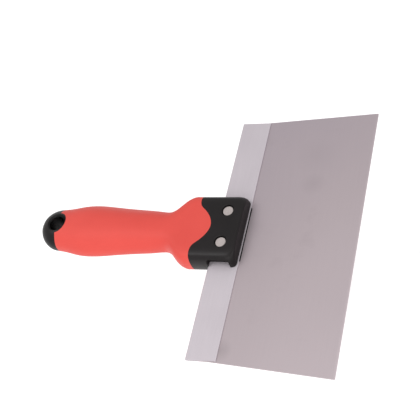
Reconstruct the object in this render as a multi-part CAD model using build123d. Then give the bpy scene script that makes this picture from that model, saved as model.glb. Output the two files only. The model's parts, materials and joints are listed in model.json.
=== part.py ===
"""Flexible putty knife: a thin spring-steel blade in a folded backing strip, riveted into the
forked head of a two-material handle.

Frame, in millimetres: X runs from the tail of the handle to the working edge, Y across the blade,
Z up from the surface that the knife lies on. The origin is under the middle of the whole knife.
"""
from build123d import *
import math
import os

# Whole knife
OVERALL_LENGTH = 236.4
TAIL_X = -OVERALL_LENGTH / 2
EDGE_X = OVERALL_LENGTH / 2
KNIFE_HEIGHT_UNDER_BLADE = 12.02  # from the resting surface to the blade's middle plane

# Blade
BLADE_THICKNESS = 0.5
EDGE_WIDTH = 203.2
BLADE_BACK_WIDTH = 189.2
BLADE_EDGE_RADIUS = 0.6

# Backing strip, folded over the blade's back edge
STRIP_LENGTH = 190.5
STRIP_DEPTH = 21.4
STRIP_TO_EDGE = 100.2
SHEET = 0.8
BLADE_CLEARANCE = 0.03
BLADE_BACK_GAP = 0.2
STRIP_BACK_X = EDGE_X - STRIP_TO_EDGE
STRIP_HALF_HEIGHT = BLADE_THICKNESS / 2 + BLADE_CLEARANCE + SHEET
BLADE_BACK_X = STRIP_BACK_X + STRIP_HALF_HEIGHT + BLADE_BACK_GAP

# Clamp pad between the blade and the strip, under the head; its lip stands out past the strip
PAD_THICKNESS = 0.3
PAD_START = 3.0
PAD_END = 22.2
PAD_WIDTH = 43.0
PAD_CORNER = 0.6

# Handle body. Each station has its distance from the tail, half width, half thickness, how far the
# middle lies above the blade's plane, facet depth as a share of a square corner, and sharpness of
# the edges between the facets.
FACET_ANGLE = math.radians(50)
SECTION_POINTS = 48
TAIL_ROUNDING = 15.0
TAIL_STEPS = (0.08, 0.5, 1.3, 2.6, 4.6, 7.4, 11.0)
TAIL_STATION = (15.0, 16.5, 12.2, 2.0, 0.71, 8.0)
STATIONS = (
    (22.0, 17.7, 12.8, 1.8, 0.70, 8.0),
    (32.0, 20.0, 13.6, 1.7, 0.70, 8.0),
    (42.0, 20.8, 13.8, 1.7, 0.70, 8.0),
    (60.0, 19.2, 13.2, 1.6, 0.70, 8.0),
    (80.0, 17.4, 12.2, 1.5, 0.70, 8.0),
    (92.0, 16.1, 11.5, 1.4, 0.72, 8.0),
    (98.0, 15.1, 11.1, 1.4, 0.74, 8.0),
    (102.5, 15.0, 10.9, 1.4, 0.77, 8.5),
    (107.0, 17.6, 10.6, 1.4, 0.82, 9.0),
    (112.0, 22.8, 10.4, 1.4, 0.87, 10.5),
    (116.5, 25.9, 10.3, 1.4, 0.90, 12.0),
    (121.0, 26.9, 10.2, 1.4, 0.91, 12.0),
)
HEAD_STATION = STATIONS[-1]
TAIL_LIFT = 1.8

# Straight head ahead of the last station. Its front corners are round as seen from above, widely at
# the flat faces and tightly at the sides, and the edges of its front face are round too. Each step
# is a section's distance behind the front.
HEAD_FRONT_X = STRIP_BACK_X + 20.75
FACE_CORNER = 7.0
SIDE_CORNER = 3.0
HEAD_EDGE_RADIUS = 1.2
CORNER_STEPS = (FACE_CORNER, 5.6, 4.2, SIDE_CORNER, 2.0, HEAD_EDGE_RADIUS)
EDGE_STEPS = (HEAD_EDGE_RADIUS, 0.7, 0.35, 0.14, 0.04)
HEAD_HALF_WIDTH = HEAD_STATION[1]
HEAD_HALF_THICKNESS = HEAD_STATION[2]
HEAD_LIFT = HEAD_STATION[3]

# Soft grip
GRIP_THICKNESS = 2.4
TAIL_CAP_LENGTH = 15.6
HANG_RING_RADIUS = 8.3

# Front outline of the soft grip, from its middle to its side: each point's distance behind the
# strip, and its distance from the middle
GRIP_OUTLINE = ((0.4, 0), (4.1, 9.2), (7.6, 12.9), (10.8, 16.2), (12.0, 21.0), (11.7, 27.0))

# Hang hole
HANG_HOLE_X = TAIL_X + 14.6
HANG_HOLE_RADIUS = 5.7
HANG_CHAMFER = 2.2

# Rivets: a stud from the front, driven into a sleeve from the back
RIVET_SPACING = 25.0
RIVET_X = STRIP_BACK_X + 9.35
RIVET_HEAD_RADIUS = 3.7
RIVET_HEAD_THICKNESS = 1.2
RIVET_RECESS = 1.1
RIVET_HEAD_EDGE = 0.3
RECESS_RADIUS = 4.35
RECESS_CHAMFER = 0.35
SLEEVE_RADIUS = 2.5
STUD_RADIUS = 1.7
RIVET_CLEARANCE = 0.1
PRESS_CLEARANCE = 0.02
SLEEVE_GAP = 1.0

# Notches in both sides of the head, where the strip runs out of it
NOTCH_START = 0.6
NOTCH_END = 16.7
NOTCH_HEIGHT = 13.0
NOTCH_CORNER = 2.2
NOTCH_DEPTH = 4.3

BLADE_Z = KNIFE_HEIGHT_UNDER_BLADE
HEAD_TOP_Z = BLADE_Z + HEAD_LIFT + HEAD_HALF_THICKNESS
HEAD_BOTTOM_Z = BLADE_Z + HEAD_LIFT - HEAD_HALF_THICKNESS
BEYOND = 2 * HEAD_TOP_Z  # a length that passes any face of the handle


def corner_reach(half_width, half_thickness):
    """Distance from the middle of a section to a square corner, measured across the facet."""
    return half_width * math.cos(FACET_ANGLE) + half_thickness * math.sin(FACET_ANGLE)


def section_radius(angle, half_width, half_thickness, facet, sharpness):
    """Distance from the middle of a soft octagon to its edge, in one direction."""
    slant = facet * corner_reach(half_width, half_thickness)
    reaches = (
        math.cos(angle) / half_width,
        math.sin(angle) / half_thickness,
        math.cos(angle - FACET_ANGLE) / slant,
        math.cos(angle + FACET_ANGLE) / slant,
    )
    return sum(abs(reach) ** sharpness for reach in reaches) ** (-1 / sharpness)


def section(station, inset=0.0):
    """One closed cross-section of the handle, as a face across X."""
    along, half_width, half_thickness, lift, facet, sharpness = station
    points = []
    for step in range(SECTION_POINTS):
        turn = 2 * math.pi * step / SECTION_POINTS
        angle = math.atan2(half_thickness * math.sin(turn), half_width * math.cos(turn))
        radius = section_radius(angle, half_width, half_thickness, facet, sharpness)
        across = radius * math.cos(angle) * (1 - inset / half_width)
        up = radius * math.sin(angle) * (1 - inset / half_thickness)
        points.append(Vector(TAIL_X + along, across, BLADE_Z + lift + up))
    return Face(Wire(Edge.make_spline(points, periodic=True)))


def tail_stations():
    """Stations of the rounded tail, whose plan and side are quarter ellipses."""
    _, half_width, half_thickness, lift, facet, sharpness = TAIL_STATION
    stations = []
    for along in TAIL_STEPS:
        share = math.sqrt(1 - (1 - along / TAIL_ROUNDING) ** 2)
        rise = TAIL_LIFT * (1 - along / TAIL_ROUNDING) ** 2
        stations.append((along, half_width * share, half_thickness * share, lift + rise, facet, sharpness))
    return stations + [TAIL_STATION]


def rounding(radius, gap):
    """How far a rounded edge lies inside the full width, at a distance from its end."""
    reach = max(radius - gap, 0)
    return radius - math.sqrt(radius**2 - reach**2)


def head_front(steps):
    """Part of the head's front, where the corners and then the front edges round off."""
    _, half_width, half_thickness, lift, facet, sharpness = HEAD_STATION
    stations = []
    for gap in steps:
        along = HEAD_FRONT_X - TAIL_X - gap
        narrowed = half_width - rounding(SIDE_CORNER, gap)
        thinned = half_thickness - rounding(HEAD_EDGE_RADIUS, gap)
        cut_back = corner_reach(rounding(FACE_CORNER, gap), rounding(HEAD_EDGE_RADIUS, gap))
        slant = facet * corner_reach(half_width, half_thickness) - cut_back
        share = slant / corner_reach(narrowed, thinned)
        stations.append((along, narrowed, thinned, lift, share, sharpness))
    return loft([section(station) for station in stations])


def straight_head(inset=0.0):
    """The head between the last station and its rounded front."""
    length = HEAD_FRONT_X - FACE_CORNER - TAIL_X - HEAD_STATION[0]
    return extrude(section(HEAD_STATION, inset), length, dir=(1, 0, 0))


def handle_body():
    """Outer shape of the whole handle, both materials together."""
    back = loft([section(station) for station in tail_stations() + list(STATIONS)])
    return back + straight_head() + head_front(CORNER_STEPS) + head_front(EDGE_STEPS)


def shank_under_grip():
    """Shape of the core where the soft grip covers it."""
    stations = tail_stations()[-2:] + list(STATIONS)
    return loft([section(station, GRIP_THICKNESS) for station in stations]) + straight_head(GRIP_THICKNESS)


def grip_region():
    """Everything between the black tail cap and the black head, as a tall plan-shaped block."""
    tail_end = TAIL_X + TAIL_CAP_LENGTH
    side = 2 * HEAD_HALF_WIDTH
    outline = [(STRIP_BACK_X - behind, across) for behind, across in GRIP_OUTLINE]
    mirrored = [(x, -y) for x, y in reversed(outline[1:])]
    bump = Spline(*(mirrored + outline))
    corners = [outline[-1], (outline[-1][0], side), (tail_end, side)]
    corners += [(x, -y) for x, y in reversed(corners)]
    plan = make_face([bump] + Polyline(*corners).edges())
    ring = Pos(HANG_HOLE_X, 0) * Circle(HANG_RING_RADIUS)
    return extrude(plan - ring, BEYOND, both=True)


def strip_profile_block(length, half_height, back_x):
    """A flat bar along Y with a half-round back, as long as the strip."""
    straight = STRIP_BACK_X + STRIP_DEPTH - back_x - half_height
    bar = Pos(back_x + half_height + straight / 2, 0, BLADE_Z) * Box(straight, length, 2 * half_height)
    back = Pos(back_x + half_height, 0, BLADE_Z) * Rot(90, 0, 0) * Cylinder(half_height, length)
    return bar + back


def upright_cylinders(radius, bottom, top):
    """A pair of cylinders on the two rivet axes."""
    height = top - bottom
    places = Locations(*[(RIVET_X, side * RIVET_SPACING / 2, (bottom + top) / 2) for side in (1, -1)])
    return [place * Cylinder(radius, height) for place in places]


def blade():
    """Thin trapezium, a little wider at its working edge than at its back."""
    corners = [
        (BLADE_BACK_X, -BLADE_BACK_WIDTH / 2),
        (EDGE_X, -EDGE_WIDTH / 2),
        (EDGE_X, EDGE_WIDTH / 2),
        (BLADE_BACK_X, BLADE_BACK_WIDTH / 2),
    ]
    plan = make_face(Polyline(*corners, close=True))
    edge_corners = plan.vertices().group_by(Axis.X)[-1]
    plan = fillet(edge_corners, BLADE_EDGE_RADIUS)
    sheet = Pos(0, 0, BLADE_Z - BLADE_THICKNESS / 2) * extrude(plan, BLADE_THICKNESS)
    return sheet - upright_cylinders(SLEEVE_RADIUS + RIVET_CLEARANCE, 0, HEAD_TOP_Z)


def clamp_pad_blank():
    """The pad without its rivet holes, which is also the shape of its pocket in the strip."""
    length = PAD_END - PAD_START
    middle = STRIP_BACK_X + PAD_START + length / 2
    plan = Pos(middle, 0) * RectangleRounded(length, PAD_WIDTH, PAD_CORNER)
    return Pos(0, 0, BLADE_Z + BLADE_THICKNESS / 2 + BLADE_CLEARANCE) * extrude(plan, PAD_THICKNESS)


def clamp_pad():
    """Thin rubber pad that the front of the strip presses onto the blade."""
    return clamp_pad_blank() - upright_cylinders(SLEEVE_RADIUS + RIVET_CLEARANCE, 0, HEAD_TOP_Z)


def backing_strip():
    """Sheet folded into a flat channel that holds the blade's back edge, with a pocket for the pad."""
    channel = strip_profile_block(STRIP_LENGTH, STRIP_HALF_HEIGHT, STRIP_BACK_X)
    inside = strip_profile_block(2 * STRIP_LENGTH, STRIP_HALF_HEIGHT - SHEET, STRIP_BACK_X + SHEET)
    holes = upright_cylinders(SLEEVE_RADIUS + RIVET_CLEARANCE, 0, HEAD_TOP_Z)
    return channel - inside - clamp_pad_blank() - holes


def side_notches():
    """Rounded notches in both sides of the head, above and below the strip."""
    middle_x = STRIP_BACK_X + (NOTCH_START + NOTCH_END) / 2
    profile = RectangleRounded(NOTCH_END - NOTCH_START, NOTCH_HEIGHT, NOTCH_CORNER)
    through = extrude(Plane.XZ * Pos(middle_x, BLADE_Z + HEAD_LIFT) * profile, BEYOND, both=True)
    between = Box(4 * HEAD_HALF_WIDTH, 2 * (HEAD_HALF_WIDTH - NOTCH_DEPTH), 2 * BEYOND)
    return through - Pos(middle_x, 0, 0) * between


def jaw_slot():
    """Room for the backing strip."""
    return strip_profile_block(4 * HEAD_HALF_WIDTH, STRIP_HALF_HEIGHT, STRIP_BACK_X)


def hang_hole():
    """Round hole through the tail, with a wide chamfer at both faces."""
    middle = BLADE_Z + TAIL_STATION[3]
    half = TAIL_STATION[2]
    straight = 2 * (half - HANG_CHAMFER)
    hole = Pos(HANG_HOLE_X, 0, middle) * Cylinder(HANG_HOLE_RADIUS, straight + 2)
    for face in (1, -1):
        cone_middle = middle + face * half
        radii = (HANG_HOLE_RADIUS, HANG_HOLE_RADIUS + 2 * HANG_CHAMFER)
        bottom, top = radii if face > 0 else radii[::-1]
        hole += Pos(HANG_HOLE_X, 0, cone_middle) * Cone(bottom, top, 2 * HANG_CHAMFER)
    return hole


def rivet_cuts():
    """Through holes and sunk seats for both rivets."""
    cuts = upright_cylinders(SLEEVE_RADIUS + PRESS_CLEARANCE, 0, BEYOND)
    seat = RIVET_RECESS + RIVET_HEAD_THICKNESS
    cuts += upright_cylinders(RECESS_RADIUS, HEAD_TOP_Z - seat, BEYOND)
    cuts += upright_cylinders(RECESS_RADIUS, -HEAD_TOP_Z, HEAD_BOTTOM_Z + seat)
    for surface, face in ((HEAD_TOP_Z, 1), (HEAD_BOTTOM_Z, -1)):
        radii = (RECESS_RADIUS, RECESS_RADIUS + 2 * RECESS_CHAMFER)[::face]
        for side in (1, -1):
            rim = Cone(*radii, 2 * RECESS_CHAMFER)
            cuts.append(Pos(RIVET_X, side * RIVET_SPACING / 2, surface) * rim)
    return cuts


def handle_core(body, grip):
    """Hard black moulding: tail, shank under the grip, and the forked head."""
    core = body - grip
    core -= hang_hole()
    core -= jaw_slot()
    core -= side_notches()
    for cut in rivet_cuts():
        core -= cut
    return core


def rounded_head(disc, upward):
    """Rivet head with its outer rim rounded, at the top if upward is 1 and at the bottom if 0."""
    rim = disc.faces().sort_by(Axis.Z)[-upward].edges()
    return fillet(rim, RIVET_HEAD_EDGE)


def rivet_studs():
    """Front halves: a flat head on a solid pin."""
    head_top = HEAD_TOP_Z - RIVET_RECESS
    pin_end = HEAD_BOTTOM_Z + RIVET_RECESS + RIVET_HEAD_THICKNESS + SLEEVE_GAP
    heads = upright_cylinders(RIVET_HEAD_RADIUS, head_top - RIVET_HEAD_THICKNESS, head_top)
    pins = upright_cylinders(STUD_RADIUS, pin_end, head_top - RIVET_HEAD_THICKNESS / 2)
    return [rounded_head(head, 1) + pin for head, pin in zip(heads, pins)]


def rivet_sleeves():
    """Back halves: a flat head on a tube that grips the stud's pin."""
    head_bottom = HEAD_BOTTOM_Z + RIVET_RECESS
    tube_top = HEAD_TOP_Z - RIVET_RECESS - RIVET_HEAD_THICKNESS - SLEEVE_GAP
    bore_bottom = head_bottom + RIVET_HEAD_THICKNESS
    heads = upright_cylinders(RIVET_HEAD_RADIUS, head_bottom, head_bottom + RIVET_HEAD_THICKNESS)
    tubes = upright_cylinders(SLEEVE_RADIUS, head_bottom + RIVET_HEAD_THICKNESS / 2, tube_top)
    bores = upright_cylinders(STUD_RADIUS + PRESS_CLEARANCE, bore_bottom, tube_top + 1)
    return [rounded_head(head, 0) + tube - bore for head, tube, bore in zip(heads, tubes, bores)]


def main():
    os.makedirs("parts", exist_ok=True)
    body = handle_body()
    grip = (body & grip_region()) - shank_under_grip()
    parts = {
        "blade": blade(),
        "backing_strip": backing_strip(),
        "clamp_pad": clamp_pad(),
        "handle_core": handle_core(body, grip),
        "soft_grip": grip,
    }
    for side, stud, sleeve in zip(("left", "right"), rivet_studs(), rivet_sleeves()):
        parts[f"rivet_stud_{side}"] = stud
        parts[f"rivet_sleeve_{side}"] = sleeve
    for name, shape in parts.items():
        export_step(shape, f"parts/{name}.step")


main()
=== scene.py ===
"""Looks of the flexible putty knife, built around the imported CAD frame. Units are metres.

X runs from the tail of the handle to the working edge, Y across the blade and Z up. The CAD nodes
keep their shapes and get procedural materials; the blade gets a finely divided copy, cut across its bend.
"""
import json
import math

import bmesh
import bpy
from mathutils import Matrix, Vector


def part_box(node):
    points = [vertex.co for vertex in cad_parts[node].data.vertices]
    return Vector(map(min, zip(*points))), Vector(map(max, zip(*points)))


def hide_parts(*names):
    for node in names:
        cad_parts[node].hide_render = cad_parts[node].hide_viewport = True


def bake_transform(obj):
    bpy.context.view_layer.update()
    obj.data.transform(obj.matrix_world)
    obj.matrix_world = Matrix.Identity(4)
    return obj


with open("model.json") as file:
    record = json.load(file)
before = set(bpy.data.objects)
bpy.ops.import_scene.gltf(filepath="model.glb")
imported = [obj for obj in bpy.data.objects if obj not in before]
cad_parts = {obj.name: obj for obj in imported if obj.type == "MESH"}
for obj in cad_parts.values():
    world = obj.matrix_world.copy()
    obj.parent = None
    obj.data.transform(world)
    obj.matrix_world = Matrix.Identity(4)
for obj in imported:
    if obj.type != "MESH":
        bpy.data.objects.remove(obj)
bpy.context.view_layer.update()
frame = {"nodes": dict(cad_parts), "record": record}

NODES = frame["nodes"]

# Camera: an 85 mm lens that looks down on the knife from ahead and to its right
CAMERA_PLACE = (0.2782, -0.3340, 0.5507)
CAMERA_TURN = (35.535, 18.664, 13.168)
CAMERA_LENS = 85
CAMERA_SENSOR = 36

# Studio: a faintly glowing floor well below the knife, soft white surroundings and three softboxes.
# Each softbox has its place, its size and its power in watts, and faces the middle of the knife.
FLOOR_Z = -0.12
FLOOR_SIZE = 8.0
FLOOR_GLOW = 0.18
WORLD_STRENGTH = 0.70
SOFTBOXES = {
    "top_light": ((-0.42, -0.22, 1.00), 0.55, 4.0),
    "front_light": ((0.95, -0.35, 0.55), 0.80, 3.5),
    "side_light": ((0.15, -1.10, 0.60), 0.80, 3.5),
}

# Faint handling marks on the blade: each has its middle, its radius and the share of light that it
# leaves
BLADE_MARKS = (
    ((0.0808, 0.0420), 0.0095, 0.930),
    ((0.0790, 0.0660), 0.0160, 0.965),
    ((0.0405, -0.0870), 0.0085, 0.840),
)

# The blade bends between the lip of the clamp pad and the middle of its free length. It is divided
# there by evenly spaced cuts.
BEND_START_X = 0.0402
BEND_END_X = 0.0774
BEND_CUTS = 40
WELD_DISTANCE = 0.000001

# The working edge is honed bright over this last stretch, and the strip's front edge gets a painted
# highlight over this width
HONED_START_X = 0.1166
HONED_END_X = 0.1180
STRIP_EDGE_HIGHLIGHT_WIDTH = 0.0003

# Spacing of the turned rings on the rivet heads
RING_SPACING = 0.00022


def make_camera():
    data = bpy.data.cameras.new("camera")
    data.lens = CAMERA_LENS
    data.sensor_width = CAMERA_SENSOR
    data.clip_start = 0.01
    data.clip_end = 50
    camera = bpy.data.objects.new("camera", data)
    camera.location = CAMERA_PLACE
    camera.rotation_euler = [math.radians(turn) for turn in CAMERA_TURN]
    bpy.context.scene.collection.objects.link(camera)
    bpy.context.scene.camera = camera


# ---------------------------------------------------------------- node helpers


class Look:
    """Builds one procedural material around a Principled shader, node by node."""

    def __init__(self, name, roughness=0.5, metallic=0.0, specular=0.5):
        self.material = bpy.data.materials.new(name)
        self.material.use_nodes = True
        self.tree = self.material.node_tree
        self.shader = self.tree.nodes["Principled BSDF"]
        self.shader.inputs["Roughness"].default_value = roughness
        self.shader.inputs["Metallic"].default_value = metallic
        self.shader.inputs["Specular IOR Level"].default_value = specular
        self.place = self.tree.nodes.new("ShaderNodeTexCoord").outputs["Object"]

    def link(self, source, target):
        self.tree.links.new(source, target)

    def stretched(self, stretch):
        """Object coordinates in metres, scaled along each axis."""
        mapping = self.tree.nodes.new("ShaderNodeMapping")
        mapping.inputs["Scale"].default_value = stretch
        self.link(self.place, mapping.inputs["Vector"])
        return mapping.outputs["Vector"]

    def axis(self, letter):
        """One object coordinate in metres: X, Y or Z."""
        node = self.tree.nodes.new("ShaderNodeSeparateXYZ")
        self.link(self.place, node.inputs["Vector"])
        return node.outputs[letter]

    def noise(self, scale, detail=3.0, roughness=0.5, stretch=(1, 1, 1)):
        node = self.tree.nodes.new("ShaderNodeTexNoise")
        node.inputs["Scale"].default_value = scale
        node.inputs["Detail"].default_value = detail
        node.inputs["Roughness"].default_value = roughness
        self.link(self.stretched(stretch), node.inputs["Vector"])
        return node.outputs["Fac"]

    def cells(self, scale):
        node = self.tree.nodes.new("ShaderNodeTexVoronoi")
        node.inputs["Scale"].default_value = scale
        self.link(self.place, node.inputs["Vector"])
        return node.outputs["Distance"]

    def math(self, operation, first, second=0.0):
        node = self.tree.nodes.new("ShaderNodeMath")
        node.operation = operation
        for value, socket in ((first, node.inputs[0]), (second, node.inputs[1])):
            if isinstance(value, (int, float)):
                socket.default_value = value
            else:
                self.link(value, socket)
        return node.outputs["Value"]

    def span(self, source, low, high, start=0.0, end=1.0):
        """Maps the range low to high onto start to end, and holds it there outside."""
        node = self.tree.nodes.new("ShaderNodeMapRange")
        for name, value in (("From Min", low), ("From Max", high), ("To Min", start), ("To Max", end)):
            node.inputs[name].default_value = value
        self.link(source, node.inputs["Value"])
        return node.outputs["Result"]

    def ramp(self, source, *stops):
        """Colour ramp; each stop is (place, (red, green, blue)) in linear colour."""
        node = self.tree.nodes.new("ShaderNodeValToRGB")
        elements = node.color_ramp.elements
        while len(elements) < len(stops):
            elements.new(0.5)
        for element, (place, colour) in zip(elements, stops):
            element.position = place
            element.color = (*colour, 1)
        self.link(source, node.inputs["Fac"])
        return node.outputs["Color"]

    def shade(self, colour, factor):
        """Colour multiplied by a varying grey factor."""
        node = self.tree.nodes.new("ShaderNodeMix")
        node.data_type = "RGBA"
        node.blend_type = "MULTIPLY"
        node.inputs["Factor"].default_value = 1.0
        self.link(colour, node.inputs[6])
        self.link(factor, node.inputs[7])
        return node.outputs[2]

    def length(self, along, across):
        """Length of a flat vector."""
        squares = [self.math("POWER", side, 2.0) for side in (along, across)]
        return self.math("SQRT", self.math("ADD", *squares))

    def distance(self, x, y):
        """Distance in metres from an upright line."""
        along = self.math("SUBTRACT", self.axis("X"), x)
        across = self.math("SUBTRACT", self.axis("Y"), y)
        return self.length(along, across)

    def bump(self, height, distance, strength=1.0, under=None):
        node = self.tree.nodes.new("ShaderNodeBump")
        node.inputs["Strength"].default_value = strength
        node.inputs["Distance"].default_value = distance
        self.link(height, node.inputs["Height"])
        if under is not None:
            self.link(under, node.inputs["Normal"])
        return node.outputs["Normal"]

    def finish(self, colour, roughness, normal):
        self.link(colour, self.shader.inputs["Base Color"])
        self.link(roughness, self.shader.inputs["Roughness"])
        self.link(normal, self.shader.inputs["Normal"])
        return self.material


def linear(red, green, blue):
    """Linear colour from display values of 0 to 255."""
    channels = []
    for value in (red, green, blue):
        share = value / 255
        channels.append(share / 12.92 if share <= 0.04045 else ((share + 0.055) / 1.055) ** 2.4)
    return tuple(channels)


# ---------------------------------------------------------------- materials


def blade_steel():
    """Thin rolled steel: a painted light gradient across the blade, fine lines along the working edge,
    faint clouds, smudges and marks.
    """
    look = Look("blade_steel", metallic=0.12, specular=0.30)
    clouds = look.noise(16, detail=2.0, stretch=(1.0, 0.7, 1))
    # Painted light: darker toward the tail end and the far (+Y) side, paler toward the working edge and the
    # near (-Y) side
    toward_corner = look.math("SUBTRACT", look.axis("X"), look.math("MULTIPLY", look.axis("Y"), 0.8))
    painted_light_drift = look.span(toward_corner, -0.03, 0.20, -0.1, 0.75)
    tint = look.math("ADD", painted_light_drift, look.math("MULTIPLY", clouds, 0.25))
    mauve = (0.05, linear(160, 149, 155))
    grey = (0.45, linear(168, 156, 160))
    pale = (0.90, linear(178, 166, 170))
    colour = look.ramp(tint, mauve, grey, pale)
    lines = look.noise(2600, detail=2.0, roughness=0.6, stretch=(1, 0.012, 1))
    colour = look.shade(colour, look.span(lines, 0.25, 0.75, 0.980, 1.015))
    smudges = look.noise(38, detail=4.0, roughness=0.6)
    colour = look.shade(colour, look.span(smudges, 0.60, 0.80, 1.0, 0.93))
    for (x, y), radius, darkest in BLADE_MARKS:
        ragged = look.math("ADD", look.distance(x, y), look.math("MULTIPLY", smudges, radius / 2))
        colour = look.shade(colour, look.span(ragged, radius * 0.3, radius * 1.25, darkest, 1.0))
    honed = look.span(look.axis("X"), HONED_START_X, HONED_END_X, 1.0, 1.10)
    colour = look.shade(colour, honed)
    roughness = look.span(look.math("ADD", lines, smudges), 0.7, 1.3, 0.40, 0.50)
    return look.finish(colour, roughness, look.bump(lines, 0.000004))


def strip_metal():
    """Satin sheet: a light lavender grey with a fine grain along its length and a painted highlight on its
    front edge.
    """
    look = Look("strip_metal", metallic=0.25)
    clouds = look.noise(24, detail=2.0)
    colour = look.ramp(clouds, (0.30, linear(188, 180, 186)), (0.70, linear(195, 187, 193)))
    grain = look.noise(2400, detail=2.0, roughness=0.6, stretch=(1, 0.02, 1))
    colour = look.shade(colour, look.span(grain, 0.25, 0.75, 0.965, 1.02))
    specks = look.noise(5200, detail=1.0)
    colour = look.shade(colour, look.span(specks, 0.30, 0.70, 0.98, 1.01))
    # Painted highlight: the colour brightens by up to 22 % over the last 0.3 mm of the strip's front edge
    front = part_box("backing_strip")[1][0]
    painted_edge_highlight = look.span(look.axis("X"), front - STRIP_EDGE_HIGHLIGHT_WIDTH, front - STRIP_EDGE_HIGHLIGHT_WIDTH / 3, 1.0, 1.22)
    colour = look.shade(colour, painted_edge_highlight)
    roughness = look.span(grain, 0.3, 0.7, 0.46, 0.54)
    return look.finish(colour, roughness, look.bump(grain, 0.000003))


def black_rubber():
    """Thin rubber sheet of the clamp pad."""
    look = Look("black_rubber", specular=0.2)
    clouds = look.noise(300)
    colour = look.ramp(clouds, (0.3, (0.006, 0.006, 0.0065)), (0.7, (0.010, 0.010, 0.0105)))
    grain = look.noise(5000, detail=2.0)
    return look.finish(colour, look.span(grain, 0.3, 0.7, 0.72, 0.88), look.bump(grain, 0.00001))


def black_plastic():
    """Moulded plastic: nearly black, semi-matt, with a fine spark-eroded grain and painted shade in the
    hang hole.
    """
    look = Look("black_plastic", specular=0.22)
    clouds = look.noise(45, detail=3.0)
    colour = look.ramp(clouds, (0.3, (0.0085, 0.0068, 0.0070)), (0.7, (0.0115, 0.0090, 0.0095)))
    # Painted shade: the colour falls to 12 % inside the hang hole and fades back to full over 2 mm round
    # its rim
    hole = frame["record"]["mounts"][0]
    hole_radius = hole["dims"]["r_mm"] / 1000
    from_axis = look.distance(hole["pos_m"][0], hole["pos_m"][1])
    colour = look.shade(colour, look.span(from_axis, hole_radius + 0.0002, hole_radius + 0.0020, 0.12, 1.0))
    pits = look.cells(2600)
    grain = look.noise(4200, detail=2.0, roughness=0.6)
    rough_clouds = look.math("ADD", clouds, grain)
    roughness = look.span(rough_clouds, 0.7, 1.3, 0.33, 0.45)
    normal = look.bump(pits, 0.000010)
    normal = look.bump(grain, 0.000008, under=normal)
    return look.finish(colour, roughness, normal)


def red_rubber():
    """Soft-touch overmoulding: warm red, matt, slightly mottled, with a very fine pebble."""
    look = Look("red_rubber", specular=0.35)
    clouds = look.noise(30, detail=3.0)
    colour = look.ramp(clouds, (0.3, linear(210, 69, 60)), (0.7, linear(216, 75, 66)))
    specks = look.noise(1400, detail=2.0, roughness=0.7)
    colour = look.shade(colour, look.span(specks, 0.3, 0.7, 0.965, 1.02))
    pebble = look.cells(1900)
    fine = look.noise(3600, detail=2.0)
    roughness = look.span(look.math("ADD", clouds, specks), 0.7, 1.3, 0.52, 0.66)
    normal = look.bump(pebble, 0.000022)
    normal = look.bump(fine, 0.000012, under=normal)
    look.shader.inputs["Sheen Weight"].default_value = 0.06
    look.shader.inputs["Sheen Roughness"].default_value = 0.5
    return look.finish(colour, roughness, normal)


def rivet_metal():
    """Dull turned steel, with fine rings round the axis of each rivet."""
    look = Look("rivet_metal", metallic=0.6)
    low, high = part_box("rivet_stud_left")
    middle = [(a + b) / 2 for a, b in zip(low, high)]
    along = look.math("SUBTRACT", look.axis("X"), middle[0])
    across = look.math("SUBTRACT", look.math("ABSOLUTE", look.axis("Y")), abs(middle[1]))
    radius = look.length(along, across)
    rings = look.math("SINE", look.math("MULTIPLY", radius, 2 * math.pi / RING_SPACING))
    mottle = look.noise(1500, detail=3.0, roughness=0.7)
    colour = look.ramp(mottle, (0.3, linear(178, 169, 167)), (0.7, linear(196, 186, 183)))
    colour = look.shade(colour, look.span(rings, -1.0, 1.0, 0.965, 1.02))
    roughness = look.span(mottle, 0.3, 0.7, 0.42, 0.56)
    normal = look.bump(rings, 0.000004)
    normal = look.bump(mottle, 0.000012, under=normal)
    return look.finish(colour, roughness, normal)


def paint_nodes():
    looks = {
        "blade_steel": blade_steel(),
        "strip_metal": strip_metal(),
        "black_rubber": black_rubber(),
        "black_plastic": black_plastic(),
        "red_rubber": red_rubber(),
        "rivet_metal": rivet_metal(),
    }
    for part in frame["record"]["subparts"]:
        mesh = NODES[part["node"]].data
        mesh.materials.clear()
        mesh.materials.append(looks[part["material_slot"]])
    return looks


# ---------------------------------------------------------------- blade


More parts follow.
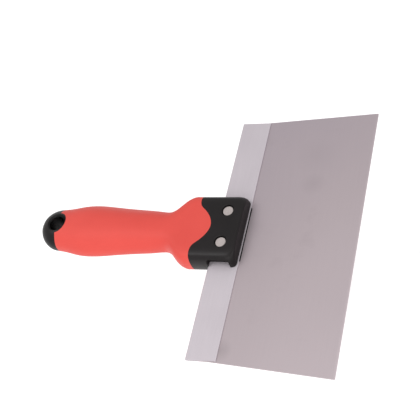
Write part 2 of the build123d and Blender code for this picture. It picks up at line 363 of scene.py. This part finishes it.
def make_blade(material):
    """Copy of the CAD blade, welded and divided across its bend."""
    mesh = NODES["blade"].data.copy()
    mesh.name = "flexing_blade"
    shape = bmesh.new()
    shape.from_mesh(mesh)
    bmesh.ops.remove_doubles(shape, verts=shape.verts, dist=WELD_DISTANCE)
    bend = [BEND_START_X + (BEND_END_X - BEND_START_X) * cut / BEND_CUTS for cut in range(BEND_CUTS + 1)]
    for x in bend:
        everything = shape.verts[:] + shape.edges[:] + shape.faces[:]
        bmesh.ops.bisect_plane(shape, geom=everything, plane_co=(x, 0, 0), plane_no=(1, 0, 0))
    bmesh.ops.dissolve_degenerate(shape, edges=shape.edges, dist=WELD_DISTANCE / 2)
    bmesh.ops.recalc_face_normals(shape, faces=shape.faces)
    shape.to_mesh(mesh)
    shape.free()
    mesh.shade_flat()
    mesh.materials.clear()
    mesh.materials.append(material)
    blade = bpy.data.objects.new("flexing_blade", mesh)
    bpy.context.scene.collection.objects.link(blade)
    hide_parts("blade")
    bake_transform(blade)


# ---------------------------------------------------------------- studio


def make_floor():
    half = FLOOR_SIZE / 2
    mesh = bpy.data.meshes.new("floor")
    plan = [(-half, -half), (half, -half), (half, half), (-half, half)]
    mesh.from_pydata([(x, y, FLOOR_Z) for x, y in plan], [], [(0, 1, 2, 3)])
    floor = bpy.data.objects.new("floor", mesh)
    bpy.context.scene.collection.objects.link(floor)
    look = Look("floor", specular=0.0)
    colour = look.ramp(look.noise(3), (0.3, (0.985, 0.985, 0.985)), (0.7, (0.995, 0.995, 0.995)))
    look.link(colour, look.shader.inputs["Base Color"])
    look.shader.inputs["Roughness"].default_value = 0.9
    look.shader.inputs["Emission Color"].default_value = (1, 1, 1, 1)
    look.shader.inputs["Emission Strength"].default_value = FLOOR_GLOW
    mesh.materials.append(look.material)


def make_lights():
    world = bpy.data.worlds.new("studio")
    world.use_nodes = True
    world.node_tree.nodes["Background"].inputs["Color"].default_value = (1, 1, 1, 1)
    world.node_tree.nodes["Background"].inputs["Strength"].default_value = WORLD_STRENGTH
    bpy.context.scene.world = world
    for name, (place, size, power) in SOFTBOXES.items():
        data = bpy.data.lights.new(name, "AREA")
        data.shape = "SQUARE"
        data.size = size
        data.energy = power
        light = bpy.data.objects.new(name, data)
        light.location = place
        light.rotation_euler = (-Vector(place)).to_track_quat("-Z", "Y").to_euler()
        bpy.context.scene.collection.objects.link(light)
    bpy.context.scene.view_settings.view_transform = "Standard"


def main():
    make_camera()
    looks = paint_nodes()
    make_blade(looks["blade_steel"])
    make_floor()
    make_lights()


main()
